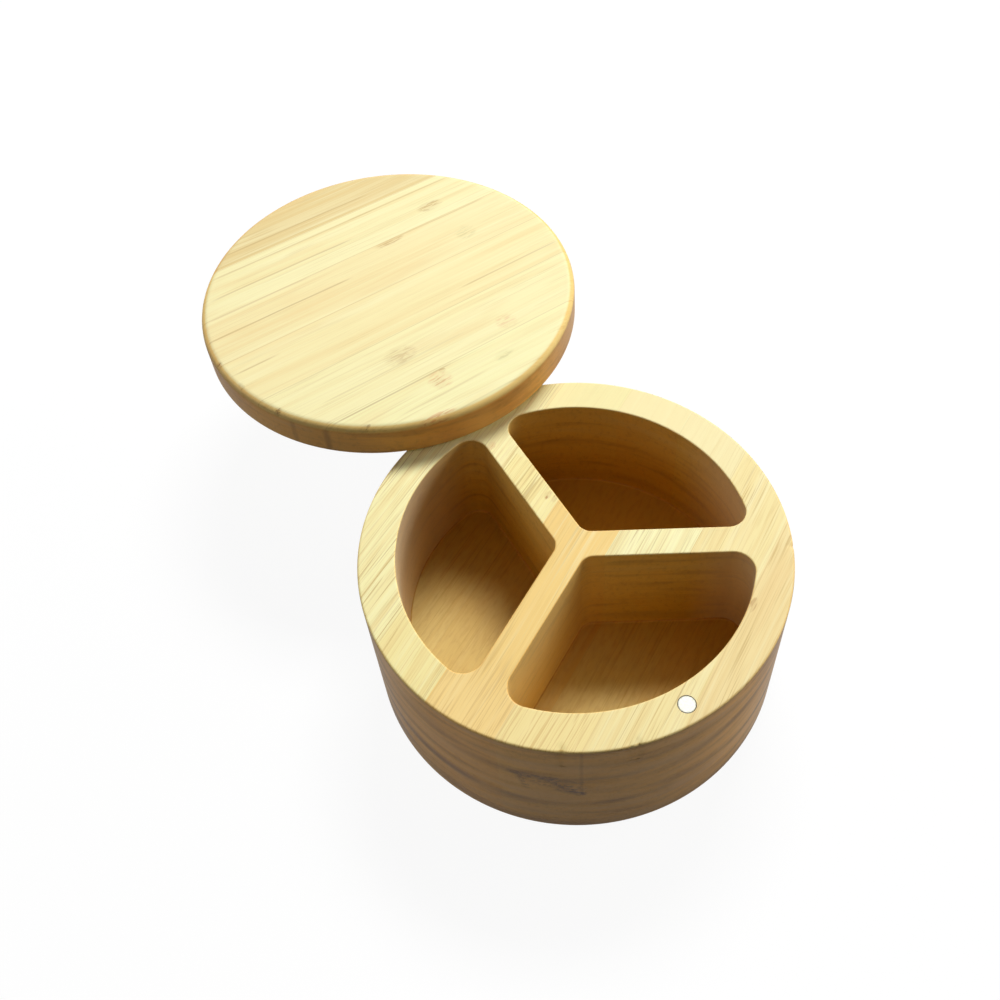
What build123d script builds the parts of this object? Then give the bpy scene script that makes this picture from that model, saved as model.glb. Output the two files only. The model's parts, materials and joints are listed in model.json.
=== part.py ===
from build123d import *
import os

# Round bamboo spice box: a laminated box with three milled pockets and a swivel lid.
# Millimetres. The origin is the centre of the box's underside, +Z is up, and +Y points
# from the box's centre to the lid's pivot. The lid is drawn swung open.

# Box: six round bamboo boards glued into one block
box_diameter = 150.0
ply_names = ("base_ply", "floor_ply", "lower_wall_ply", "middle_wall_ply", "upper_wall_ply", "rim_ply")
ply_thickness = 10.0
box_edge_chamfer = 0.6

# Pockets: three wedges milled down from the rim
floor_thickness = 15.0
rim_width = 13.0
partition_count = 3
partition_width = 10.5
hub_corner_radius = 5.5
rim_corner_radius = 7.0
pocket_edge_chamfer = 0.4
partition_turn = 1.8

# Lid: bamboo strips glued edge to edge into a round board
lid_diameter = 150.0
lid_thickness = 14.0
lid_strip_count = 6
lid_top_round = 3.0
lid_under_chamfer = 0.8
lid_gap = 0.3
lid_open_angle = 174.0

# Pivot pin: a steel dowel pressed into the rim, free to turn in the lid
pin_diameter = 5.0
pin_depth_in_box = 16.0
pin_depth_in_lid = 9.0
pin_end_chamfer = 0.4
pin_running_clearance = 0.05
pin_end_room = 0.5

# Magnets: one disc flush in the rim, one flush in the lid's underside
magnet_diameter = 6.0
magnet_height = 3.0
magnet_edge_chamfer = 0.2
magnet_seat_clearance = 0.1

# Places worked out from the sizes above
box_radius = box_diameter / 2
box_height = ply_thickness * len(ply_names)
pocket_radius = box_radius - rim_width
pivot_radius = box_radius - rim_width / 2
lid_radius = lid_diameter / 2
lid_strip_width = lid_diameter / lid_strip_count
pin_foot = box_height - pin_depth_in_box
pin_length = pin_depth_in_box + lid_gap + pin_depth_in_lid
magnet_foot = box_height - magnet_height

# The lid's own plane lies on its underside, with its Y axis from the lid's centre to the pivot
pivot = Vector(0, pivot_radius, 0)
lid_swing = Vector(0, -pivot_radius, 0).rotate(Axis.Z, -lid_open_angle)
lid_plane = Plane(
    origin=pivot + lid_swing + Vector(0, 0, box_height + lid_gap),
    x_dir=Vector(1, 0, 0).rotate(Axis.Z, -lid_open_angle),
    z_dir=(0, 0, 1),
)

# Outline of the pockets, seen from above: a disc parted by the partitions, which meet at the centre
with BuildSketch() as pockets:
    Circle(pocket_radius)
    with PolarLocations(box_radius / 2, partition_count, start_angle=90 + partition_turn):
        Rectangle(box_radius, partition_width, mode=Mode.SUBTRACT)
    corners = pockets.vertices().sort_by(lambda corner: Vector(*corner).length)
    fillet(corners[:partition_count], hub_corner_radius)
    corners = pockets.vertices().group_by(lambda corner: round(Vector(*corner).length, 3))
    fillet(corners[-1], rim_corner_radius)


def make_ply(name, foot):
    """One board of the box, with the pockets, the pin's hole and the magnet's seat where they reach it."""
    top = foot + ply_thickness
    with BuildPart() as ply:
        with BuildSketch(Plane.XY.offset(foot)):
            Circle(box_radius)
        extrude(amount=ply_thickness)
        pocket_foot = max(foot, floor_thickness)
        if pocket_foot < top:
            with BuildSketch(Plane.XY.offset(pocket_foot)):
                add(pockets.sketch)
            extrude(amount=top - pocket_foot, mode=Mode.SUBTRACT)
        if foot == 0:
            chamfer(ply.faces().sort_by(Axis.Z)[0].outer_wire().edges(), box_edge_chamfer)
        if name == ply_names[-1]:
            rim_face = ply.faces().sort_by(Axis.Z)[-1]
            pocket_mouths = rim_face.inner_wires()
            chamfer(rim_face.outer_wire().edges(), box_edge_chamfer)
            chamfer([edge for mouth in pocket_mouths for edge in mouth.edges()], pocket_edge_chamfer)
        if pin_foot < top:
            with BuildSketch(Plane.XY.offset(max(foot, pin_foot))):
                with Locations((0, pivot_radius)):
                    Circle(pin_diameter / 2)
            extrude(amount=top - max(foot, pin_foot), mode=Mode.SUBTRACT)
        if magnet_foot < top:
            with BuildSketch(Plane.XY.offset(max(foot, magnet_foot))):
                with Locations((0, -pivot_radius)):
                    Circle(magnet_diameter / 2 + magnet_seat_clearance)
            extrude(amount=top - max(foot, magnet_foot), mode=Mode.SUBTRACT)
    ply.part.label = name
    return ply.part


def make_lid_strip(number):
    """One strip of the lid: a slice of the round board, with the bore or the seat that lies in it."""
    near_edge = -lid_radius + (number - 1) * lid_strip_width
    with BuildPart() as strip:
        with BuildSketch(lid_plane):
            Circle(lid_radius)
        extrude(amount=lid_thickness)
        rims = strip.edges().filter_by(GeomType.CIRCLE).sort_by(Axis.Z)
        fillet(rims[-1], lid_top_round)
        rims = strip.edges().filter_by(GeomType.CIRCLE).sort_by(Axis.Z)
        chamfer(rims[0], lid_under_chamfer)
        with BuildSketch(lid_plane):
            with Locations((0, pivot_radius)):
                Circle(pin_diameter / 2 + pin_running_clearance)
        extrude(amount=pin_depth_in_lid + pin_end_room, mode=Mode.SUBTRACT)
        with BuildSketch(lid_plane):
            with Locations((0, -pivot_radius)):
                Circle(magnet_diameter / 2 + magnet_seat_clearance)
        extrude(amount=magnet_height, mode=Mode.SUBTRACT)
        with BuildSketch(lid_plane):
            with Locations((0, near_edge + lid_strip_width / 2)):
                Rectangle(lid_diameter, lid_strip_width)
        extrude(amount=lid_thickness, mode=Mode.INTERSECT)
    strip.part.label = f"lid_strip_{number}"
    return strip.part


def make_magnet(name, foot_plane, y):
    """A disc magnet with eased edges, standing on its plane."""
    with BuildPart() as magnet:
        with BuildSketch(foot_plane):
            with Locations((0, y)):
                Circle(magnet_diameter / 2)
        extrude(amount=magnet_height)
        chamfer(magnet.edges().filter_by(GeomType.CIRCLE), magnet_edge_chamfer)
    magnet.part.label = name
    return magnet.part


# Pivot pin, with chamfered ends
with BuildPart() as pivot_pin:
    with BuildSketch(Plane.XY.offset(pin_foot)):
        with Locations((0, pivot_radius)):
            Circle(pin_diameter / 2)
    extrude(amount=pin_length)
    chamfer(pivot_pin.edges().filter_by(GeomType.CIRCLE), pin_end_chamfer)
pivot_pin.part.label = "pivot_pin"

pieces = [make_ply(name, index * ply_thickness) for index, name in enumerate(ply_names)]
pieces += [make_lid_strip(number) for number in range(1, lid_strip_count + 1)]
pieces.append(pivot_pin.part)
pieces.append(make_magnet("rim_magnet", Plane.XY.offset(magnet_foot), -pivot_radius))
pieces.append(make_magnet("lid_magnet", lid_plane, -pivot_radius))

os.makedirs("parts", exist_ok=True)
for piece in pieces:
    export_step(piece, f"parts/{piece.label}.step")
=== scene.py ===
import json
import math
import types

import bmesh
import bpy
import numpy as np
from mathutils import Matrix, Vector


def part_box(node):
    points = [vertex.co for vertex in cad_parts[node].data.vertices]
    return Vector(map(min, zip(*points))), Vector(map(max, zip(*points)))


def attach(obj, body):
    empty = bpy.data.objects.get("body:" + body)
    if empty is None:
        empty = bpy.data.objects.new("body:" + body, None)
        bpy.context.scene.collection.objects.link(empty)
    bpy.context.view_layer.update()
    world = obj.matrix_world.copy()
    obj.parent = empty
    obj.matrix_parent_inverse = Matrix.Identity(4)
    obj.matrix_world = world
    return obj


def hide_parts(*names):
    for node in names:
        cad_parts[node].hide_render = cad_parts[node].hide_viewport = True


# Round bamboo spice box with a swivel lid, in metres. At rest the lid is swung open, as in the photograph.
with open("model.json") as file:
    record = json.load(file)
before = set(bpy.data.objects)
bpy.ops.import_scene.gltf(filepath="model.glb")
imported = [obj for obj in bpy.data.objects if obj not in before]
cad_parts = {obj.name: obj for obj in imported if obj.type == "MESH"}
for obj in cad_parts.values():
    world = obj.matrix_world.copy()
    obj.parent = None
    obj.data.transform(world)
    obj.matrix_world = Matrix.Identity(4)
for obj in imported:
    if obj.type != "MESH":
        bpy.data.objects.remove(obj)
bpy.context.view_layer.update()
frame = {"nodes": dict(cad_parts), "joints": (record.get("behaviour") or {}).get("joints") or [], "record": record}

# The box: six round bamboo boards glued one on another, turned round outside and milled from above
# with three wedge-shaped pockets. Each board is a piece of its own, and sanding has left the walls flush.
board_count = 6
ply_nodes = frame["record"]["behaviour"]["bodies"]["box"][:board_count]
box_radius = (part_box("base_ply")[1].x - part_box("base_ply")[0].x) / 2
box_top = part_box("rim_ply")[1].z
box_edge_round = 0.0008
pocket_radius = 0.062
pocket_floor = 0.015
pocket_foot_cove = 0.0008
pocket_mouth_round = 0.0005
partition_width = 0.0105
hub_corner_radius = 0.0055
rim_corner_radius = 0.007
first_partition = math.radians(91.8)
pocket_count = 3
rim_flat = 0.003
millimetres = 1000

half_sector = math.pi / pocket_count
face_turn = half_sector + math.pi / 2
along = np.array([math.cos(half_sector), math.sin(half_sector)])
inward = np.array([math.sin(half_sector), -math.cos(half_sector)])
hub_centre = np.array([(partition_width / 2 + hub_corner_radius) / math.sin(half_sector), 0])
hub_reach = hub_centre @ along
corner_offset = partition_width / 2 + rim_corner_radius
corner_reach = math.sqrt((pocket_radius - rim_corner_radius) ** 2 - corner_offset**2)
corner_centre = along * corner_reach + inward * corner_offset
corner_turn = half_sector - math.atan2(corner_offset, corner_reach)
hub_steps, face_steps, corner_steps, rim_steps = 14, 30, 36, 72
line_steps = corner_steps // 3
pocket_turns = [first_partition + half_sector * (2 * number + 1) for number in range(pocket_count)]


def ray(angle):
    """Unit vectors in the plane at those angles, one a row."""
    return np.stack([np.cos(angle), np.sin(angle)], -1)


def spread(start, end, steps):
    """Values from start to end in equal steps, the end left out; points work as numbers do."""
    share = np.linspace(0, 1, steps, endpoint=False)
    share = share[:, None] if np.ndim(start) else share
    return start * (1 - share) + end * share


def mirrored(half, tip):
    """A closed outline: its half above the X axis, the point where that half ends, and its mirror image."""
    return np.concatenate([half, [tip], half[:0:-1] * [1, -1]])


def pocket_outline(grow):
    """A pocket's outline in its own axes, x along its middle, moved outward by grow along its normals.

    Hub arc, partition face, corner arc and rim arc follow one another. A point of an arc is its centre
    plus the radius and grow times the unit vector of its normal, and a face's points slide outward.
    """
    half = [
        hub_centre + (hub_corner_radius + grow) * ray(spread(math.pi, face_turn, hub_steps)),
        spread(along * hub_reach, along * corner_reach, face_steps) + inward * (partition_width / 2 - grow),
        corner_centre + (rim_corner_radius + grow) * ray(spread(face_turn, corner_turn, corner_steps)),
        (pocket_radius + grow) * ray(spread(corner_turn, 0, rim_steps)),
    ]
    return mirrored(np.concatenate(half), [pocket_radius + grow, 0])


def sector_arc():
    """Angles on the outer wall from a partition's middle line to the pocket's middle, the end left out."""
    return np.concatenate([
        spread(half_sector, corner_turn, corner_steps - line_steps),
        spread(corner_turn, 0, rim_steps),
    ])


def sector_outline(outer):
    """The third of a disc around a pocket, point for point with the pocket's outline.

    It runs from the centre along the partition's middle line, then round the outer radius.
    """
    half = [
        spread(along * 0, along * hub_reach, hub_steps),
        spread(along * hub_reach, along * corner_reach, face_steps),
        spread(along * corner_reach, along * outer, line_steps),
        outer * ray(sector_arc()),
    ]
    return mirrored(np.concatenate(half), [outer, 0])


def raised(outline, turn, height):
    """An outline turned about the centre and set at a height."""
    cos, sin = math.cos(turn), math.sin(turn)
    turned = outline @ np.array([[cos, sin], [-sin, cos]])
    return np.column_stack([turned, np.full(len(turned), height)])


def ruled(inner, outer, shares):
    """Rings between two outlines that match point for point: a straight blend of both at each share."""
    return np.stack([inner * (1 - share) + outer * share for share in shares])


def round_edge(steps):
    """How far a rounded edge has turned, as sine and cosine of equal angles from 0 to a right angle."""
    angle = np.linspace(0, math.pi / 2, steps)
    return np.sin(angle), np.cos(angle)


weld_distance = 2e-6
sliver_length = 1e-7
sharp_angle = math.radians(32)


def add_piece(name, surfaces):
    """Makes one closed mesh from surfaces, each a stack of rings of points that close on themselves.

    Neighbouring rings are joined by quads, doubles are merged, normals are turned outward, and edges
    that bend by more than the sharp angle stay sharp.
    """
    points, faces, count = [], [], 0
    for rings in surfaces:
        rows, columns = rings.shape[:2]
        index = count + np.arange(rows * columns).reshape(rows, columns)
        lower, upper = index[:-1], index[1:]
        quads = np.stack([lower, np.roll(lower, -1, 1), np.roll(upper, -1, 1), upper], -1)
        points.append(rings.reshape(-1, 3))
        faces.append(quads.reshape(-1, 4))
        count += rows * columns
    mesh = bpy.data.meshes.new(name)
    mesh.from_pydata(np.concatenate(points).tolist(), [], np.concatenate(faces).tolist())
    shaped = bmesh.new()
    shaped.from_mesh(mesh)
    bmesh.ops.remove_doubles(shaped, verts=shaped.verts, dist=weld_distance)
    bmesh.ops.dissolve_degenerate(shaped, edges=shaped.edges, dist=sliver_length)
    bmesh.ops.recalc_face_normals(shaped, faces=shaped.faces)
    shaped.to_mesh(mesh)
    shaped.free()
    mesh.shade_smooth()
    mesh.set_sharp_from_angle(angle=sharp_angle)
    piece = bpy.data.objects.new(name, mesh)
    bpy.context.scene.collection.objects.link(piece)
    return piece


wall_turns = np.concatenate([
    turn + np.concatenate([sector_arc(), [0], -sector_arc()[:0:-1]]) for turn in pocket_turns
])
wall_turns = wall_turns[np.argsort(wall_turns % (2 * math.pi))]
wall_circle = np.column_stack([ray(wall_turns), np.zeros(len(wall_turns))])
disc_shares = [0, 0.3, 0.6, 0.9, 1]


def disc(radius, height):
    """Rings of one disc at a height, from its centre out to its edge."""
    return np.stack([wall_circle * radius * share + [0, 0, height] for share in disc_shares])


def wall(profile):
    """Rings of a turned wall: the circle of the outer wall at each radius and height of its profile."""
    return np.stack([wall_circle * radius + [0, 0, height] for radius, height in profile])


rim_nicks = ((-105.3, 0.9, 0.5), (-107.3, 0.6, 0.3), (-123.6, 0.9, 0.6), (-31.0, 0.7, 0.3))


def nick_depth():
    """How deep the rim's outer edge is nicked at each angle of the wall: a sum of narrow bells.

    A nick has its angle in degrees, and its length and depth in millimetres.
    """
    depth = np.zeros_like(wall_turns)
    for turn, length, deep in rim_nicks:
        away = (wall_turns - math.radians(turn) + math.pi) % (2 * math.pi) - math.pi
        depth += deep / millimetres * np.exp(-((away * box_radius * millimetres / length) ** 2))
    return depth


edge_rings = 7
edge_step = 0.0003
nick_fade, nick_rings, nick_drop = 1.6, 6, 0.7


def board_wall(name, low, high):
    """Rings down a board's outer wall, with a quarter round at the rim's upper and the foot's lower edge."""
    sin, cos = round_edge(edge_rings)
    inset, drop = box_edge_round * (1 - sin), box_edge_round * (1 - cos)
    profile = [(box_radius, high), (box_radius, low)]
    if name == "base_ply":
        profile = [(box_radius, high), (box_radius, low + box_edge_round + edge_step)]
        profile += [(box_radius - back, low + up) for back, up in zip(drop, inset)]
    if name == "rim_ply":
        profile = [(box_radius - back, high - down) for back, down in zip(inset, drop)]
        profile += [(box_radius, high - box_edge_round - edge_step), (box_radius, low)]
    rings = wall(profile)
    if name == "rim_ply":
        fade = np.clip(nick_fade - np.arange(len(profile)) / nick_rings, 0, 1)[:, None] * nick_depth()
        rings[:, :, :2] *= 1 - fade[:, :, None] / box_radius
        rings[:, :, 2] -= fade * nick_drop
    return rings


def pocket_wall(name, low, high, turn):
    """Rings down one pocket's wall in a board: a quarter round at its mouth, a small cove at its foot."""
    sin, cos = round_edge(edge_rings)
    levels = [(0, high)]
    if name == "rim_ply":
        mouth = pocket_mouth_round
        levels = [(mouth * (1 - s), high - mouth * (1 - c)) for s, c in zip(sin, cos)]
        levels.append((0, high - mouth - edge_step))
    if low >= pocket_floor:
        levels.append((0, low))
    else:
        cove = pocket_foot_cove
        levels.append((0, pocket_floor + cove + edge_step))
        levels += [(-cove * (1 - c), pocket_floor + cove * (1 - s)) for s, c in zip(sin, cos)]
    return np.stack([raised(pocket_outline(grow), turn, height) for grow, height in levels])


flat_shares = [0, 0.03, 0.1, 0.3, 0.6, 0.9, 1]
floor_shares = [0, 0.02, 0.2, 0.5, 0.8, 1]
rim_shares = [0, 0.5, 0.85, 1]
floor_middle = pocket_radius * 0.6


def board_surfaces(name, low, high):
    """The surfaces of one board: outer wall, top, underside, and the part of the pockets within it."""
    outer = board_wall(name, low, high)
    if high <= pocket_floor:
        return [outer, disc(box_radius, high), disc(box_radius - box_edge_round, low)]
    surfaces = [outer]
    flat_radius = box_radius - rim_flat if name == "rim_ply" else box_radius
    for turn in pocket_turns:
        inside = pocket_wall(name, low, high, turn)
        surfaces.append(ruled(inside[0], raised(sector_outline(flat_radius), turn, high), flat_shares))
        if low < pocket_floor:
            middle = raised(np.full((1, 2), [floor_middle, 0]), turn, pocket_floor)
            surfaces.append(ruled(inside[-1], np.repeat(middle, len(inside[-1]), 0), floor_shares))
        else:
            surfaces.append(ruled(inside[-1], raised(sector_outline(box_radius), turn, low), flat_shares))
        surfaces.append(inside)
    if low < pocket_floor:
        surfaces.append(disc(box_radius, low))
    if name == "rim_ply":
        flat_edge = wall_circle * flat_radius + [0, 0, high]
        surfaces.append(ruled(flat_edge, outer[0], rim_shares))
    return surfaces


hole_steps = 96


def drill(piece, centre, radius, low, high):
    """Takes a round hole out of a piece with a Boolean, applied, from the low to the high height."""
    circle = np.column_stack([radius * ray(spread(0, 2 * math.pi, hole_steps)), np.zeros(hole_steps)])
    middle = np.array([centre[0], centre[1], 0])
    steps = [(0, low), (1, low), (1, high), (0, high)]
    rings = np.stack([circle * share + middle + [0, 0, height] for share, height in steps])
    cutter = add_piece("cutter", [rings])
    cut = piece.modifiers.new("drill", "BOOLEAN")
    cut.operation, cut.solver, cut.object = "DIFFERENCE", "EXACT", cutter
    bpy.context.view_layer.update()
    drilled = bpy.data.meshes.new_from_object(piece.evaluated_get(bpy.context.evaluated_depsgraph_get()))
    piece.modifiers.clear()
    plain = piece.data
    piece.data = drilled
    drilled.name = piece.name
    bpy.data.meshes.remove(plain)
    bpy.data.objects.remove(cutter)
    drilled.shade_smooth()
    drilled.set_sharp_from_angle(angle=sharp_angle)


class Channel:
    """A socket of a material's nodes that takes part in sums as a number does: each sum adds a Math node."""

    def __init__(self, tree, socket=None):
        self.tree = tree
        self.socket = socket

    def node(self, kind, settings, inputs, output=0):
        """Adds a node: settings and ramp stops first, then its sockets' values or links. Gives an output."""
        made = self.tree.nodes.new(kind)
        stops = settings.pop("stops", None)
        for key, value in settings.items():
            setattr(made, key, value)
        if stops:
            ramp = made.color_ramp
            ramp.interpolation = "CONSTANT"
            while len(ramp.elements) < len(stops):
                ramp.elements.new(0.5)
            for element, stop in zip(ramp.elements, stops):
                element.position = stop[0]
            for element, stop in zip(ramp.elements, stops):
                element.color = stop[1]
        for key, value in inputs.items():
            if isinstance(value, Channel):
                self.tree.links.new(value.socket, made.inputs[key])
            else:
                made.inputs[key].default_value = value
        return Channel(self.tree, made.outputs[output])

    def maths(self, operation, *values):
        """A Math node with that operation on values and channels."""
        return self.node("ShaderNodeMath", {"operation": operation}, dict(enumerate(values)))

    def __add__(self, other):
        return self.maths("ADD", self, other)

    def __sub__(self, other):
        return self.maths("SUBTRACT", self, other)

    def __rsub__(self, other):
        return self.maths("SUBTRACT", other, self)

    def __mul__(self, other):
        return self.maths("MULTIPLY", self, other)

    def __truediv__(self, other):
        return self.maths("DIVIDE", self, other)

    def __abs__(self):
        return self.maths("ABSOLUTE", self)

    __radd__ = __add__
    __rmul__ = __mul__

    def clip(self):
        """Held between 0 and 1."""
        return self.node("ShaderNodeClamp", {}, {0: self})

    def floor(self):
        """The whole number below."""
        return self.maths("FLOOR", self)

    def root(self):
        """The square root."""
        return self.maths("SQRT", self)

    def parts(self):
        """A vector's X, Y and Z."""
        split = self.node("ShaderNodeSeparateXYZ", {}, {0: self})
        return [Channel(self.tree, output) for output in split.socket.node.outputs]

    def ease(self, low, high):
        """Smooth step: 0 up to low, 1 from high on, or the other way round where low is the larger."""
        span = {0: self, 1: low, 2: high, 3: 0.0, 4: 1.0}
        if low > high:
            span = {0: self, 1: high, 2: low, 3: 1.0, 4: 0.0}
        return self.node("ShaderNodeMapRange", {"interpolation_type": "SMOOTHSTEP"}, span)

    def between(self, low, high, soft):
        """1 between low and high and 0 outside, with edges that soft: the product of two smooth steps."""
        return self.ease(low - soft, low + soft) * self.ease(high + soft, high - soft)

    def colour(self, tone):
        """A channel that holds one colour."""
        made = self.node("ShaderNodeRGB", {}, {})
        made.socket.default_value = tone
        return made

    def mix(self, other, share, way="MIX"):
        """This colour blended towards another, or a Mix mode of both, by that share."""
        settings = {"data_type": "RGBA", "blend_type": way}
        return self.node("ShaderNodeMix", settings, {0: share, 6: self, 7: other}, 2)

    def tinted(self, tone):
        """This colour multiplied by another."""
        return self.mix(tone, 1.0, "MULTIPLY")


def screen_colour(red, green, blue):
    """The linear colour that shows on a screen as those values from 0 to 255: the sRGB curve undone."""
    share = np.array([red, green, blue]) / 255
    linear = np.where(share <= 0.04045, share / 12.92, ((share + 0.055) / 1.055) ** 2.4)
    return (*linear.tolist(), 1.0)


def painted(colour, layers):
    """A colour with layers over it, one after another: each has a tone, where it lies, and its strength."""
    for tone, where, strength in layers:
        colour = colour.mix(screen_colour(*tone), where * strength)
    return colour


# The bamboo's pattern is in millimetres: the strips' width, half the width of box and lid, how far the
# pattern jumps from strip to strip and from board to board, and how far its fibres sway.
strip_pitch = 25
half_width = 75
board_slack = 0.01
strip_jump_along, strip_jump_across = 47, 9
board_jump_along, board_jump_up = 83, 7
fibre_sway = 4
pale_streak, dark_streak = (255, 248, 198), (236, 200, 126)
pale_thread, dark_thread = (255, 250, 204), (226, 190, 116)
cloud_tone, line_tone, hair_tone = (240, 205, 138), (186, 148, 82), (208, 172, 104)
joint_tone, calm_tone, patch_tone, stain_tone = (196, 158, 92), (248, 228, 162), (142, 98, 58), (92, 58, 30)
pale_band, dark_band, cut_end_tone = (232, 190, 134), (122, 80, 44), (110, 72, 40)


def start_bamboo(name, centre, turn, first_joint, layer_height, tones, side_tone, line_depths, streak_depth):
    """Laminated bamboo up to its colours: strips side by side, each of its own tone, with fibres along them.

    The pattern lies in millimetres around a centre, its first axis along the fibres at that turn, and
    starts anew at each strip and layer. It gives the colour of the flat faces and of the sides, where
    the strips' flanks and cut ends show browner, partly as their own colour and partly as painted shade,
    and what a piece needs to mix its own marks into both.
    """
    material = bpy.data.materials.new(name)
    material.use_nodes = True
    start = Channel(material.node_tree)
    cos, sin = math.cos(turn), math.sin(turn)
    shift_along = -millimetres * (cos * centre[0] + sin * centre[1])
    shift_across = millimetres * (sin * centre[0] - cos * centre[1])
    mapping = {
        "Vector": start.node("ShaderNodeTexCoord", {}, {}, "Object"),
        "Location": (shift_along, shift_across, 0),
        "Rotation": (0, 0, -turn),
        "Scale": (millimetres, millimetres, millimetres),
    }
    length, across, height = start.node("ShaderNodeMapping", {}, mapping).parts()
    strip = ((across - first_joint) / strip_pitch).floor()
    layer = ((height - board_slack) / layer_height).floor()
    bent = across + strip * strip_jump_across

    def noise(size_along, size_across, size_up, detail=1.0, joined=False):
        """Noise with grains of those sizes in millimetres, new in each strip and board unless joined."""
        if joined:
            spot = {0: length / size_along, 1: across / size_across, 2: height / size_up}
        else:
            spot = {
                0: (length + strip * strip_jump_along + layer * board_jump_along) / size_along,
                1: bent / size_across,
                2: (height + layer * board_jump_up) / size_up,
            }
        spot = start.node("ShaderNodeCombineXYZ", {}, spot)
        return start.node("ShaderNodeTexNoise", {}, {"Vector": spot, "Scale": 1.0, "Detail": detail})

    bent = bent + (noise(120, 30, 30) - 0.5) * fibre_sway
    hairs = noise(14, 0.4, 0.5, 0.0)
    lines = noise(34, 0.6, 0.8).ease(0.56, 0.67) * noise(50, 6, 8).ease(0.35, 0.6)
    threads = noise(80, 1.4, 1.8)
    streaks = noise(140, 3.2, 4.0)
    clouds = noise(55, 14, 14, 2.0)
    joint = first_joint + ((across - first_joint) / strip_pitch + 0.5).floor() * strip_pitch
    joint = abs(across - joint).ease(0.3, 0.08)

    edges = [-half_width, *(first_joint + strip_pitch * number for number in range(len(tones) - 1))]
    places = [(edge + half_width) / (2 * half_width) for edge in edges]
    place_across = (across + half_width) / (2 * half_width)
    stops = [(place, screen_colour(*tone)) for place, tone in zip(places, tones)]
    colour = start.node("ShaderNodeValToRGB", {"stops": stops}, {0: place_across})
    stops = [(place, (depth, depth, depth, 1)) for place, depth in zip(places, line_depths)]
    line_depth = start.node("ShaderNodeValToRGB", {"stops": stops}, {0: place_across}).parts()[0]
    colour = painted(colour, [
        (pale_streak, streaks.ease(0.5, 0.75), 0.4 * streak_depth),
        (dark_streak, streaks.ease(0.5, 0.3), 0.3 * streak_depth),
        (pale_thread, threads.ease(0.52, 0.72), 0.3 * streak_depth),
        (dark_thread, threads.ease(0.47, 0.3) * line_depth, 0.5),
        (cloud_tone, clouds.ease(0.45, 0.25), 0.3),
        (line_tone, lines, line_depth),
        (hair_tone, hairs.ease(0.52, 0.68) * line_depth, 0.4),
    ])

    patch = start.node("ShaderNodeCombineXYZ", {}, {0: strip + 3, 1: layer + 0.5})
    patch = start.node("ShaderNodeTexWhiteNoise", {"noise_dimensions": "2D"}, {"Vector": patch})
    bands = noise(50, 45, 4.2, 2.0, joined=True)
    stains = noise(26, 22, 1.7, joined=True)
    ends = noise(5, 1.5, 2.0, 2.0)
    # The sides: the flat colour tinted browner, partly the wood's own edge colour and partly painted shade.
    side = painted(colour.mix(screen_colour(*calm_tone), 0.8).tinted(screen_colour(*side_tone)), [
        (patch_tone, patch, 0.04),
        (pale_band, bands.ease(0.5, 0.72), 0.25),
        (dark_band, bands.ease(0.48, 0.28), 0.3),
        (cut_end_tone, ends.ease(0.5, 0.72), 0.15),
        (stain_tone, stains.ease(0.56, 0.72), 0.08),
    ])
    colour = painted(colour, [(joint_tone, joint, 0.3)])
    return types.SimpleNamespace(
        material=material, start=start, colour=colour, side=side, noise=noise, length=length, across=across,
        height=height, hairs=hairs, lines=lines, clouds=clouds, ends=ends,
    )


patch_share = 0.25


def add_knuckles(wood, knuckles, share=1.0):
    """The marks that the cane's knuckles leave in a strip: a faint patch full of short darker dashes.

    Each has its place along and across the strips, half its length and width, its tone and its strength.
    """
    dashes = wood.noise(4.5, 0.7, 0.9).ease(0.5, 0.62)
    for along_strip, across_strip, half_length, half_breadth, tone, strength in knuckles:
        off_along = (wood.length - along_strip) / half_length
        off_across = (wood.across - across_strip) / half_breadth
        near = (off_along * off_along + off_across * off_across + (wood.clouds - 0.5) * 1.5).ease(1.2, 0.2)
        near = near * (patch_share + dashes * (1 - patch_share))
        wood.colour = painted(wood.colour, [(tone, near * share, strength)])


def finish_bamboo(wood, round_tone):
    """Joins the colours of flat faces and sides, and gives the wood its sheen and its fibres' relief."""
    material, start = wood.material, wood.start
    shader = material.node_tree.nodes["Principled BSDF"]
    up = abs(start.node("ShaderNodeNewGeometry", {}, {}, "Normal").parts()[2])
    # The rounded edges are tinted warmer and the sides browner by how far they tilt: partly the wood's own colour,
    # partly painted shade.
    rounded = wood.colour.tinted(screen_colour(*round_tone))
    colour = wood.colour.mix(rounded, up.ease(0.99, 0.85)).mix(wood.side, up.ease(0.5, 0.12))
    roughness = 0.52 + wood.hairs * 0.14 + wood.lines * 0.08
    relief = wood.hairs - wood.lines * 0.6
    bump = start.node("ShaderNodeBump", {}, {"Strength": 0.25, "Distance": 0.0001, "Height": relief})
    links = material.node_tree.links
    links.new(colour.socket, shader.inputs["Base Color"])
    links.new(roughness.socket, shader.inputs["Roughness"])
    links.new(bump.socket, shader.inputs["Normal"])
    shader.inputs["Specular IOR Level"].default_value = 0.3
    return material


# The box's bamboo: the strips run aslant over the partitions, and one brown strip crosses the hub. Behind
# the hub three of them go on as other lengths of cane. Knuckles show on the pivot's partition and on the rim.
strip_turn = math.radians(31.8)
board_millimetres = 10
box_millimetres = board_count * board_millimetres
box_wood = start_bamboo(
    "box_bamboo",
    centre=(0, 0),
    turn=strip_turn,
    first_joint=-61.5,
    layer_height=board_millimetres,
    tones=[
        (247, 224, 160), (249, 231, 165), (253, 247, 188), (248, 212, 130),
        (250, 235, 164), (252, 243, 180), (252, 243, 180),
    ],
    side_tone=(245, 203, 160),
    line_depths=[0.42, 0.42, 0.5, 0.24, 0.48, 0.52, 0.55],
    streak_depth=0.8,
)
pale_joint, brown_joint, back_joint = -36.5, -11.5, 13.5
cane_end = 25
beyond_end = (box_wood.length + (box_wood.hairs - 0.5) * 3).ease(cane_end - 0.5, cane_end + 0.5)
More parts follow.
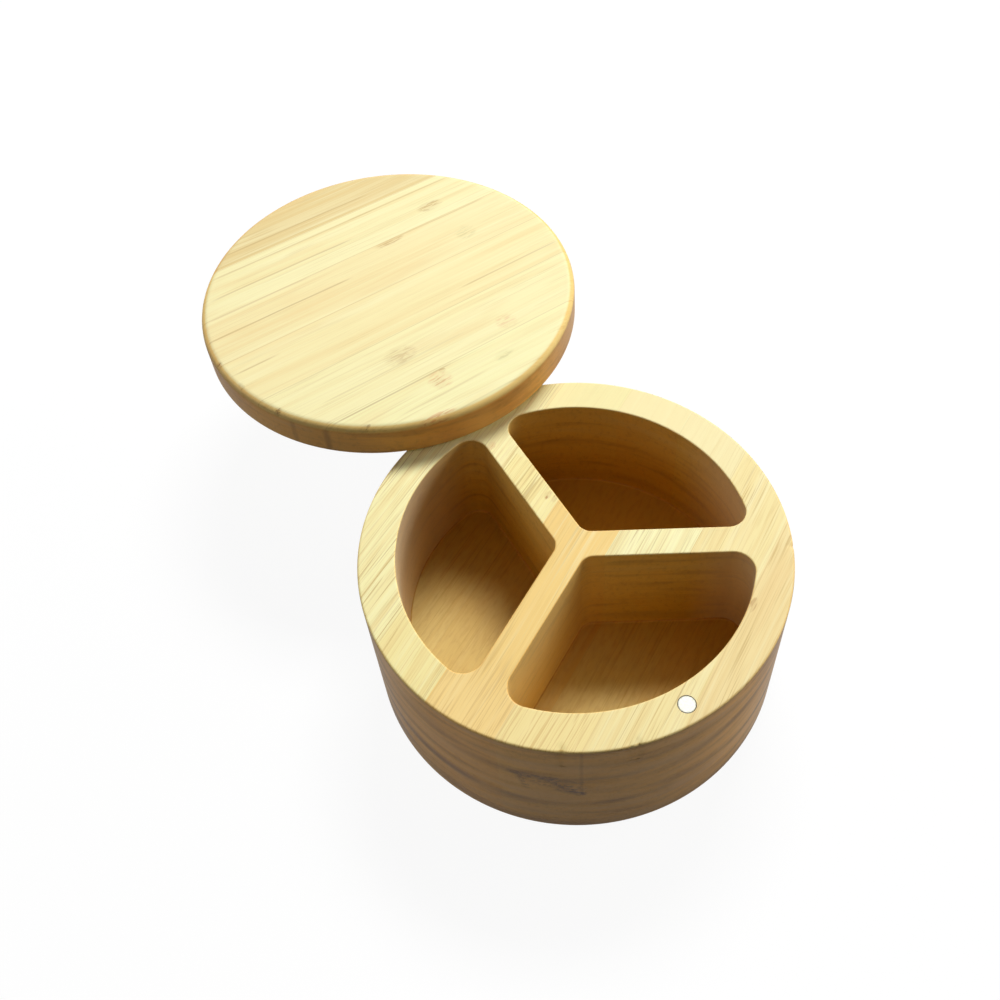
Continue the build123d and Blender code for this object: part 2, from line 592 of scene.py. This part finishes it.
next_canes = [(pale_joint, (248, 232, 174)), (brown_joint, (251, 240, 184)), (back_joint, (248, 237, 174))]
for joint, tone in next_canes:
    within = box_wood.across.between(joint, joint + strip_pitch, 0.1)
    box_wood.colour = painted(box_wood.colour, [(tone, beyond_end * within, 0.8)])
pale_end = box_wood.length.ease(-20, -50) * box_wood.across.between(pale_joint, brown_joint, 0.1)
off_brown = abs(box_wood.across - brown_joint - strip_pitch / 2)
brown_end = box_wood.length.ease(-50, -66) * off_brown.ease(strip_pitch / 2 + 0.1, strip_pitch / 2 - 0.2)
front_strips = abs(box_wood.across - brown_joint).ease(strip_pitch, strip_pitch - 0.2)
rim_lines = box_wood.noise(18, 0.5, 0.9).ease(0.48, 0.66) * box_wood.length.ease(-44, -56)
box_wood.colour = painted(box_wood.colour, [
    ((249, 225, 152), pale_end, 0.8),
    ((252, 221, 148), brown_end, 0.6),
    ((216, 178, 108), rim_lines * front_strips, 0.55),
])
knuckle_brown, knuckle_red, knuckle_tan = (176, 112, 50), (196, 126, 70), (190, 146, 84)
on_rim = box_wood.height.ease(box_millimetres - 1, box_millimetres - 0.5)
add_knuckles(box_wood, [
    (13.8, 18.3, 2.2, 1.3, knuckle_brown, 0.8),
    (13.6, 15.5, 2.0, 1.0, knuckle_brown, 0.7),
    (23.8, 47.8, 2.5, 1.6, knuckle_red, 0.7),
    (6.3, -63, 3.0, 1.4, knuckle_tan, 0.6),
], on_rim)

# The glue lines between the boards show on every wall as soft dark bands, the second from the foot the
# darkest, and they are fainter in the pockets. Painted shade also darkens the wall towards the foot.
glue_tone, glue_half_width, foot_shade_tone, foot_height = (76, 46, 24), 3.2, (70, 46, 28), 9
glue_strengths = [0, 0.25, 1.0, 0.25, 0.5, 0.35]
stops = []
for number, share in enumerate(glue_strengths):
    stops.append((max(0, (number - 0.5) / board_count), (share, share, share, 1)))
height_share = box_wood.height / box_millimetres
glue_share = box_wood.start.node("ShaderNodeValToRGB", {"stops": stops}, {0: height_share}).parts()[0]
glue_height = ((box_wood.height + board_millimetres / 2) / board_millimetres).floor() * board_millimetres
glue_wave = box_wood.noise(30, 30, 30, joined=True) * 1.4 - 0.7
glue_fade = 0.15 + box_wood.noise(40, 26, 60, joined=True).ease(0.35, 0.6) * 0.85
glue = abs(box_wood.height + glue_wave - glue_height).ease(glue_half_width, 0) * glue_share * glue_fade
between_walls = 65
from_centre = (box_wood.length * box_wood.length + box_wood.across * box_wood.across).root()
in_pocket = from_centre.ease(between_walls + 1, between_walls - 1)
box_wood.side = painted(box_wood.side, [
    (glue_tone, glue, 0.7 - in_pocket * 0.55),
    # Painted shade darkens the wall towards the foot, near the floor.
    (foot_shade_tone, box_wood.height.ease(foot_height, 0), 0.4),
])

# The outer wall: pale and dark bands of side grain, and a painted grey sheen where it turns away to the left
# and right as the camera sees it. On its front are a short seam and a dark grain mark of strokes, each given
# by its two ends, across and up the wall, its half width and its depth.
strokes = [
    ((-15.5, 40), (-29, 39.3), 2.4, 0.7), ((-29, 39.3), (-36.3, 37), 1.8, 0.45),
    ((-26.5, 39.5), (-36.3, 28.5), 2.4, 0.85), ((-18, 39), (-19.5, 30), 1.8, 0.5),
    ((-30, 31), (-36.3, 28), 1.8, 0.5), ((-20, 38), (-35, 33), 5.5, 0.5),
]
pale_grain, dark_grain, mark_tone, painted_sheen_grey = (224, 180, 126), (96, 60, 32), (72, 44, 22), (184, 176, 170)
front = box_wood.length.ease(-45, -55)
outer_bands = box_wood.noise(70, 60, 8, 2.0, joined=True) * (1 - in_pocket)
wall_seam = abs(box_wood.across - pale_joint + 0.2).ease(0.8, 0.1) * front * box_wood.height.ease(27, 29)
box_wood.side = painted(box_wood.side, [
    (pale_grain, outer_bands.ease(0.46, 0.68), 0.45),
    (dark_grain, (1 - outer_bands - in_pocket).ease(0.46, 0.68), 0.55),
    (mark_tone, wall_seam, 0.25),
])
specks = box_wood.noise(3, 1.6, 0.9, 2.0).ease(0.42, 0.6)
bent_across = box_wood.across + (box_wood.clouds - 0.5) * 3 + (specks - 0.5) * 0.8
for (start_across, start_height), (end_across, end_height), width, depth in strokes:
    run = np.array([end_across - start_across, end_height - start_height])
    run_across, run_height = (run / (run @ run)).tolist()
    share = ((bent_across - start_across) * run_across + (box_wood.height - start_height) * run_height).clip()
    off_across = bent_across - start_across - share * float(run[0])
    off_height = box_wood.height - start_height - share * float(run[1])
    stroke = (off_across * off_across + off_height * off_height).root().ease(width, width * 0.2)
    box_wood.side = painted(box_wood.side, [(mark_tone, stroke * front * depth, 0.35 + specks * 0.65)])
right_along, right_across = 0.474, -0.88
to_right = box_wood.length * right_along + box_wood.across * right_across
# Painted sheen: the outer wall greys towards its left and right ends, where it turns away from the camera.
outer_sheen_ends = abs(to_right).ease(50, 76) * (1 - in_pocket)
box_wood.side = painted(box_wood.side, [(painted_sheen_grey, outer_sheen_ends, 0.55)])

# The pockets: painted shade tints their walls browner low down and towards the back, where they face away
# from the key lamp, painted light makes them paler towards the front, and a painted grey sheen lies at their
# left and right ends. Their floors are calmer than the rim and mottled, with painted shade browning them
# towards the back, and painted shade darkens the cove at the foot.
deep_shade, deep_light = screen_colour(204, 200, 112), screen_colour(240, 250, 226)
upper_tone, lit_tone, pocket_sheen_tone = screen_colour(232, 248, 230), (244, 226, 168), (218, 196, 176)
floor_shade, floor_light = screen_colour(206, 164, 70), screen_colour(222, 210, 178)
floor_calm, mottle_tone, cove_shade_tone = screen_colour(246, 224, 158), (206, 164, 104), (150, 104, 50)
floor_millimetres = pocket_floor * millimetres
# Painted light and shade: 1 towards the front of the box, where the key lamp reaches into the pockets, 0 towards
# the back.
toward_light = box_wood.length.ease(15, -40)
# Painted shade: the pocket walls tinted browner low down and towards the back, paler higher up and towards the
# front.
deep_light_and_shade = box_wood.start.colour(deep_shade).mix(deep_light, toward_light)
upper_side = box_wood.side.tinted(upper_tone)
pocket_side = box_wood.side.tinted(deep_light_and_shade).mix(upper_side, box_wood.height.ease(22, 60))
# Painted light makes the walls paler towards the front, and a painted grey sheen lies at the pockets' left and
# right ends.
pocket_side = painted(pocket_side, [
    (lit_tone, toward_light, 0.35),
    (pocket_sheen_tone, abs(to_right).ease(38, 60), 0.5),
])
box_wood.side = box_wood.side.mix(pocket_side, in_pocket)
# Painted shade browns the floors, most towards the back, and painted light eases it towards the front.
floor_light_and_shade = box_wood.start.colour(floor_shade).mix(floor_light, toward_light)
floor_colour = box_wood.colour.mix(floor_calm, 0.55)
floor_colour = painted(floor_colour, [(mottle_tone, box_wood.ends.ease(0.45, 0.7), 0.22)]).tinted(floor_light_and_shade)
# Painted shade darkens the cove at the foot of the pocket walls.
foot_cove = box_wood.height.ease(floor_millimetres + 0.02, floor_millimetres + 0.15)
floor_colour = painted(floor_colour, [(cove_shade_tone, foot_cove, 0.4)])
below_rim = box_wood.height.ease(box_millimetres - 1, box_millimetres - board_millimetres)
above_foot = box_wood.height.ease(floor_millimetres - 3, floor_millimetres - 1)
box_wood.colour = box_wood.colour.mix(floor_colour, in_pocket * below_rim * above_foot)
box_bamboo = finish_bamboo(box_wood, round_tone=(255, 242, 222))

for name in ply_nodes:
    low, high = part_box(name)[0].z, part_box(name)[1].z
    board = add_piece(f"{name}_bamboo", board_surfaces(name, low, high))
    board.data.materials.append(box_bamboo)
    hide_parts(name)
    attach(board, "box")

# The lid: six bamboo strips glued edge to edge into one board and cut round, with its top edge rolled
# over and its lower edge eased. It lies on the rim and turns on the pivot pin.
hinge = frame["joints"][0]
pivot = np.array(hinge["pos_m"][:2])
pivot_offset = np.array([0, np.linalg.norm(pivot)])
lid_turn = -math.radians(hinge["range_deg"][1])
lid_low, lid_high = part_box("lid_strip_1")[0].z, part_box("lid_strip_1")[1].z
lid_radius = 0.07499
lid_strip_count = 6
lid_strip_width = 0.025
lid_top_round = 0.003
lid_under_round = 0.0008
lid_top_rings = 15
lid_top_step = 0.0004
lid_arc_steps, lid_line_steps = 44, 30
lid_face_shares = [0, 0.015, 0.3, 0.7, 1]


def on_lid(points):
    """Points of the lid's own plan, centre at 0 and pivot up the Y axis, set where the lid is at rest."""
    cos, sin = math.cos(lid_turn), math.sin(lid_turn)
    return pivot + (points - pivot_offset) @ np.array([[cos, sin], [-sin, cos]])


def strip_outline(radius, near, far):
    """The outline of a disc's slice between the lines y = near and y = far: arc, line, arc, line."""
    start = math.asin(max(-1.0, near / radius))
    end = math.asin(min(1.0, far / radius))
    corners = [start, end, math.pi - end, math.pi - start]
    points = [radius * ray(np.array([corner])) for corner in corners]
    return np.concatenate([
        radius * ray(spread(corners[0], corners[1], lid_arc_steps)),
        spread(points[1], points[2], lid_line_steps).reshape(-1, 2),
        radius * ray(spread(corners[2], corners[3], lid_arc_steps)),
        spread(points[3], points[0], lid_line_steps).reshape(-1, 2),
    ])


def strip_surfaces(near, far):
    """One strip of the lid: the slice's outline at each radius and height of the lid's turned profile."""
    sin, cos = round_edge(edge_rings)
    under_inset, under_rise = lid_under_round * (1 - sin), lid_under_round * (1 - cos)
    sin, cos = round_edge(lid_top_rings)
    top_inset, top_drop = lid_top_round * (1 - cos), lid_top_round * (1 - sin)
    profile = [(lid_radius - back, lid_low + up) for back, up in zip(under_inset, under_rise)]
    profile.append((lid_radius, lid_low + lid_under_round + edge_step))
    profile.append((lid_radius, lid_high - lid_top_round - lid_top_step))
    profile += [(lid_radius - back, lid_high - down) for back, down in zip(top_inset, top_drop)]
    rings = []
    for radius, height in profile:
        outline = on_lid(strip_outline(radius, near, far))
        rings.append(np.column_stack([outline, np.full(len(outline), height)]))
    middle = np.append(on_lid(np.array([[0, (near + far) / 2]]))[0], 0)
    surfaces = [np.stack(rings)]
    for ring, height in ((rings[0], lid_low), (rings[-1], lid_high)):
        centre = np.repeat((middle + [0, 0, height])[None], len(ring), 0)
        surfaces.append(ruled(ring, centre, lid_face_shares))
    return surfaces


# The lid's bamboo: pale, with few fine lines, the strip over the pivot tan. Faint seams run along it, each
# given by its place across, its two ends along and its strength, and knuckles and chips mark it.
lid_centre = on_lid(np.array([[0.0, 0.0]]))[0]
lid_wood = start_bamboo(
    "lid_bamboo",
    centre=lid_centre,
    turn=lid_turn + math.pi,
    first_joint=-50,
    layer_height=100,
    tones=[
        (250, 243, 184), (250, 240, 182), (250, 236, 177),
        (249, 234, 176), (249, 239, 182), (232, 209, 148),
    ],
    side_tone=(242, 196, 144),
    line_depths=[0.14, 0.16, 0.12, 0.12, 0.16, 0.2],
    streak_depth=0.75,
)
seams = [
    (35, -60, 0, 0.6), (13.8, -72, -12, 0.8), (24.5, 10, 60, 0.5), (24.5, -66, -25, 0.4), (-18, 25, 70, 0.5),
    (-51, -52, -5, 0.8), (-7.5, -70, -55, 0.6), (-40, -50, 10, 0.3), (-62, -30, 5, 0.3), (57, -45, 20, 0.5),
    (46.3, -55, 55, 0.5), (-72, -15, 15, 0.4),
]
seam_tone, seam_depth = (178, 140, 82), 0.65
for seam_across, seam_start, seam_end, strength in seams:
    seam = abs(lid_wood.across - seam_across + (lid_wood.noise(40, 60, 60) - 0.5) * 0.9).ease(0.6, 0.1)
    seam = seam * lid_wood.length.between(seam_start, seam_end, 4) * (0.4 + lid_wood.clouds * 1.1).clip()
    lid_wood.colour = painted(lid_wood.colour, [(seam_tone, seam, strength * seam_depth)])
brown, grey, pink = (180, 134, 74), (196, 186, 124), (230, 178, 120)
add_knuckles(lid_wood, [
    (40, 34, 6.5, 3.2, brown, 0.5), (43, 10, 5.5, 4.5, grey, 0.35), (13.5, 23.5, 7.0, 1.7, brown, 0.5),
    (27, -45, 4.5, 4.5, pink, 0.4), (-16, -36, 6.5, 5.0, brown, 0.35), (-10, -56, 5.0, 5.0, pink, 0.55),
    (-11, -57, 3.0, 3.0, brown, 0.25), (16, -59, 5.0, 2.5, grey, 0.4), (-7, -52, 1.5, 1.0, brown, 0.5),
])
edge_brown, edge_red = (132, 92, 50), (222, 164, 108)
add_knuckles(lid_wood, [
    (-66, -33, 1.8, 1.4, edge_brown, 0.6), (-44, -59, 2.0, 1.2, edge_brown, 0.5),
    (-73.5, 1.5, 1.0, 1.6, edge_brown, 0.9), (-71.5, -14, 1.2, 2.2, edge_brown, 0.5),
    (-22, -71, 9.0, 2.5, edge_red, 0.7),
])
lid_right_along, lid_right_across = 0.9, -0.43
lid_sheen_grey, side_joint_tone = (200, 184, 170), (92, 56, 26)
# Painted sheen: the lid's side greys towards its left and right ends, where it turns away from the camera.
lid_sheen_ends = abs(lid_wood.length * lid_right_along + lid_wood.across * lid_right_across).ease(50, 76)
lid_wood.side = painted(lid_wood.side, [(lid_sheen_grey, lid_sheen_ends, 0.45)])
for joint_across, strength in ((-50, 0.4), (-39.2, 0.28)):
    side_joint = abs(lid_wood.across - joint_across).ease(1.5, 0.2) * lid_wood.length.ease(-30, -40)
    lid_wood.side = painted(lid_wood.side, [(side_joint_tone, side_joint, strength)])
lid_bamboo = finish_bamboo(lid_wood, round_tone=(255, 226, 184))

for number in range(lid_strip_count):
    near = -lid_radius + number * lid_strip_width
    name = f"lid_strip_{number + 1}"
    strip = add_piece(f"{name}_bamboo", strip_surfaces(near, near + lid_strip_width))
    strip.data.materials.append(lid_bamboo)
    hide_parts(name)
    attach(strip, "lid")

# The magnets: two small nickel-plated discs. One is pressed flush into the rim, the other flush into the
# lid's underside, where it meets the first when the lid is shut.
magnet_seat_radius = 0.00305
magnet_place = np.array([0, -pivot_offset[1]])
rim_magnet_box, lid_magnet_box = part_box("rim_magnet"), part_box("lid_magnet")
lid_magnet_place = on_lid(magnet_place[None])[0]
past = 0.001
rim_board, magnet_strip = bpy.data.objects["rim_ply_bamboo"], bpy.data.objects["lid_strip_1_bamboo"]
drill(rim_board, magnet_place, magnet_seat_radius, rim_magnet_box[0].z, box_top + past)
drill(magnet_strip, lid_magnet_place, magnet_seat_radius, lid_low - past, lid_magnet_box[1].z)
shade_ring_from, shade_ring_to = 2.3, 2.9


def nickel(name, place, face_tone, edge_shade_tone):
    """Polished metal with faint rubbed scratches, and painted shade that darkens it in a ring towards its edge."""
    material = bpy.data.materials.new(name)
    material.use_nodes = True
    tree = material.node_tree
    shader = tree.nodes["Principled BSDF"]
    start = Channel(tree)
    mapping = {
        "Vector": start.node("ShaderNodeTexCoord", {}, {}, "Object"),
        "Location": (-millimetres * place[0], -millimetres * place[1], 0),
        "Scale": (millimetres, millimetres, millimetres),
    }
    spot = start.node("ShaderNodeMapping", {}, mapping)
    x, y = spot.parts()[:2]
    rubs = start.node("ShaderNodeTexNoise", {}, {"Vector": spot, "Scale": 1.6, "Detail": 4.0})
    # Painted shade: a darker ring towards the disc's edge.
    edge = (x * x + y * y).root().ease(shade_ring_from, shade_ring_to)
    scratches_and_edge_shade = (rubs.ease(0.4, 0.75) * 0.12 + edge * 0.8).clip()
    colour = start.colour(screen_colour(*face_tone)).mix(screen_colour(*edge_shade_tone), scratches_and_edge_shade)
    tree.links.new(colour.socket, shader.inputs["Base Color"])
    tree.links.new((0.5 + rubs * 0.2).socket, shader.inputs["Roughness"])
    shader.inputs["Metallic"].default_value = 1.0
    bump = start.node("ShaderNodeBump", {}, {"Strength": 0.1, "Distance": 0.00005, "Height": rubs})
    tree.links.new(bump.socket, shader.inputs["Normal"])
    return material


def dress(node, material):
    """Gives a CAD node that stays as it is a material of its own."""
    mesh = frame["nodes"][node].data
    mesh.materials.clear()
    mesh.materials.append(material)


# The nickel's face tone, and the painted shade of the ring at its edge.
nickel_face, nickel_edge_shade = (176, 177, 166), (116, 114, 105)
for node, place in (("rim_magnet", magnet_place), ("lid_magnet", lid_magnet_place)):
    dress(node, nickel(f"{node}_nickel", place, nickel_face, nickel_edge_shade))

# The pivot pin: a steel dowel pressed upright into the rim. The lid's blind bore is a little wider than
# the pin, so the lid turns on it.
pin_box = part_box("pivot_pin")
pin_radius = (pin_box[1].x - pin_box[0].x) / 2
pin_clearance = 0.00005
pin_end_room = 0.0005
# The steel's face tone, and the painted shade of the ring at its edge.
steel_face, steel_edge_shade = (206, 206, 204), (168, 168, 166)
for name, top in (("rim_ply", box_top + past), ("upper_wall_ply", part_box("upper_wall_ply")[1].z)):
    low = max(pin_box[0].z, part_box(name)[0].z - past)
    drill(bpy.data.objects[f"{name}_bamboo"], pivot, pin_radius, low, top)
pin_strip = bpy.data.objects["lid_strip_6_bamboo"]
drill(pin_strip, pivot, pin_radius + pin_clearance, lid_low - past, pin_box[1].z + pin_end_room)
dress("pivot_pin", nickel("pin_steel", pivot, steel_face, steel_edge_shade))

# The floor and background: a plain white table, which shows as near white to the camera and in the metal,
# keeps the object's shadow, and throws little light back at it.
floor_size = 6.0
paper_grey, bounce_grey, glow_strength = (0.08, 0.08, 0.08, 1), (0.2, 0.2, 0.2, 1), 0.93
white_light = (1, 1, 1, 1)
floor_mesh = bpy.data.meshes.new("floor")
corners = np.array([[-1, -1, 0], [1, -1, 0], [1, 1, 0], [-1, 1, 0]]) * floor_size / 2
floor_mesh.from_pydata(corners.tolist(), [], [(0, 1, 2, 3)])
floor = bpy.data.objects.new("floor", floor_mesh)
bpy.context.scene.collection.objects.link(floor)
table_white = bpy.data.materials.new("table_white")
table_white.use_nodes = True
tree = table_white.node_tree
tree.nodes.clear()
start = Channel(tree)
paths = start.node("ShaderNodeLightPath", {}, {}).socket.node.outputs
seen, mirrored_ray = Channel(tree, paths["Is Camera Ray"]), Channel(tree, paths["Is Glossy Ray"])
paper = start.node("ShaderNodeBsdfDiffuse", {}, {"Color": paper_grey})
glow = start.node("ShaderNodeEmission", {}, {"Color": white_light, "Strength": glow_strength})
white = start.node("ShaderNodeAddShader", {}, {0: paper, 1: glow})
bounce = start.node("ShaderNodeBsdfDiffuse", {}, {"Color": bounce_grey})
direct = seen.maths("MAXIMUM", seen, mirrored_ray)
surface = start.node("ShaderNodeMixShader", {}, {0: direct, 1: bounce, 2: white})
output = tree.nodes.new("ShaderNodeOutputMaterial")
tree.links.new(surface.socket, output.inputs["Surface"])
floor_mesh.materials.append(table_white)

# The sky: plain white where the camera or a reflection meets it, and a dim even light on the object.
ambient_strength = 0.078
world = bpy.data.worlds.new("studio")
bpy.context.scene.world = world
world.use_nodes = True
tree = world.node_tree
tree.nodes.clear()
start = Channel(tree)
paths = start.node("ShaderNodeLightPath", {}, {}).socket.node.outputs
rays = [Channel(tree, paths[key]) for key in ("Is Camera Ray", "Is Glossy Ray", "Is Transmission Ray")]
direct = rays[0].maths("MAXIMUM", rays[0], rays[1])
direct = direct.maths("MAXIMUM", direct, rays[2])
ambient = start.node("ShaderNodeBackground", {}, {"Color": white_light, "Strength": ambient_strength})
backdrop = start.node("ShaderNodeBackground", {}, {"Color": white_light, "Strength": 1.0})
sky = start.node("ShaderNodeMixShader", {}, {0: direct, 1: ambient, 2: backdrop})
output = tree.nodes.new("ShaderNodeOutputWorld")
tree.links.new(sky.socket, output.inputs["Surface"])

# The lamps: a soft key light high behind the box, and a wide soft fill light low on either side, of which
# the right one is the stronger.
lamp_distance = 2.4
lamp_aim = np.array([0, 0.05, 0.05])


def add_lamp(name, azimuth, elevation, width, height, share):
    """A lamp that wide and high, aimed at the box from those angles in degrees.

    With share 1, a face turned to it is lit so that its colour renders as it is written.
    """
    data = bpy.data.lights.new(name, "AREA")
    data.shape = "RECTANGLE"
    data.size, data.size_y = width, height
    data.energy = share * math.pi**2 * lamp_distance**2
    lamp = bpy.data.objects.new(name, data)
    bpy.context.scene.collection.objects.link(lamp)
    turn, rise = math.radians(azimuth), math.radians(elevation)
    away = np.array([math.cos(turn) * math.cos(rise), math.sin(turn) * math.cos(rise), math.sin(rise)])
    lamp.location = lamp_aim + away * lamp_distance
    lamp.rotation_mode = "QUATERNION"
    lamp.rotation_quaternion = Vector(away).to_track_quat("Z", "Y")


add_lamp("key_lamp", azimuth=46, elevation=53, width=1.1, height=0.6, share=0.97)
add_lamp("right_fill_lamp", azimuth=-10, elevation=14, width=1.4, height=1.0, share=0.46)
add_lamp("left_fill_lamp", azimuth=150, elevation=18, width=1.4, height=1.0, share=0.14)

# The camera: where the photograph was taken from, with its roll and its off-centre framing. Its place is
# in lengths of the box's radius from the middle of the rim, before the whole is turned to the part's axes.
# The focal length and the picture's centre are in pixels of a picture of that side.
camera_unit = 0.075
camera_elevation, camera_distance, camera_roll = 0.985385616, 5.12244425, -0.0252988
camera_target = np.array([-0.0813675, 0.8562402, 0])
camera_turn = -math.radians(29.909)
picture_side, focal, centre_x, centre_y = 1000, 1104.46257, 558.0996, 403.0076
sensor_width = 36

stand = camera_distance * np.array([0, -math.cos(camera_elevation), math.sin(camera_elevation)])
forward = (camera_target - stand) / np.linalg.norm(camera_target - stand)
right = np.cross(forward, [0, 0, 1])
right /= np.linalg.norm(right)
up = np.cross(right, forward)
rolled_right = math.cos(camera_roll) * right + math.sin(camera_roll) * up
rolled_up = math.cos(camera_roll) * up - math.sin(camera_roll) * right
cos, sin = math.cos(camera_turn), math.sin(camera_turn)
to_part = np.array([[cos, -sin, 0], [sin, cos, 0], [0, 0, 1]])
matrix = np.eye(4)
matrix[:3, :3] = to_part @ np.column_stack([rolled_right, rolled_up, -forward])
matrix[:3, 3] = to_part @ stand * camera_unit + [0, 0, box_top]
camera_data = bpy.data.cameras.new("camera")
camera = bpy.data.objects.new("camera", camera_data)
bpy.context.scene.collection.objects.link(camera)
camera.matrix_world = Matrix(matrix.tolist())
camera_data.sensor_width = sensor_width
camera_data.lens = focal / picture_side * sensor_width
camera_data.shift_x = 0.5 - centre_x / picture_side
camera_data.shift_y = centre_y / picture_side - 0.5
bpy.context.scene.camera = camera
bpy.context.scene.view_settings.view_transform = "Standard"
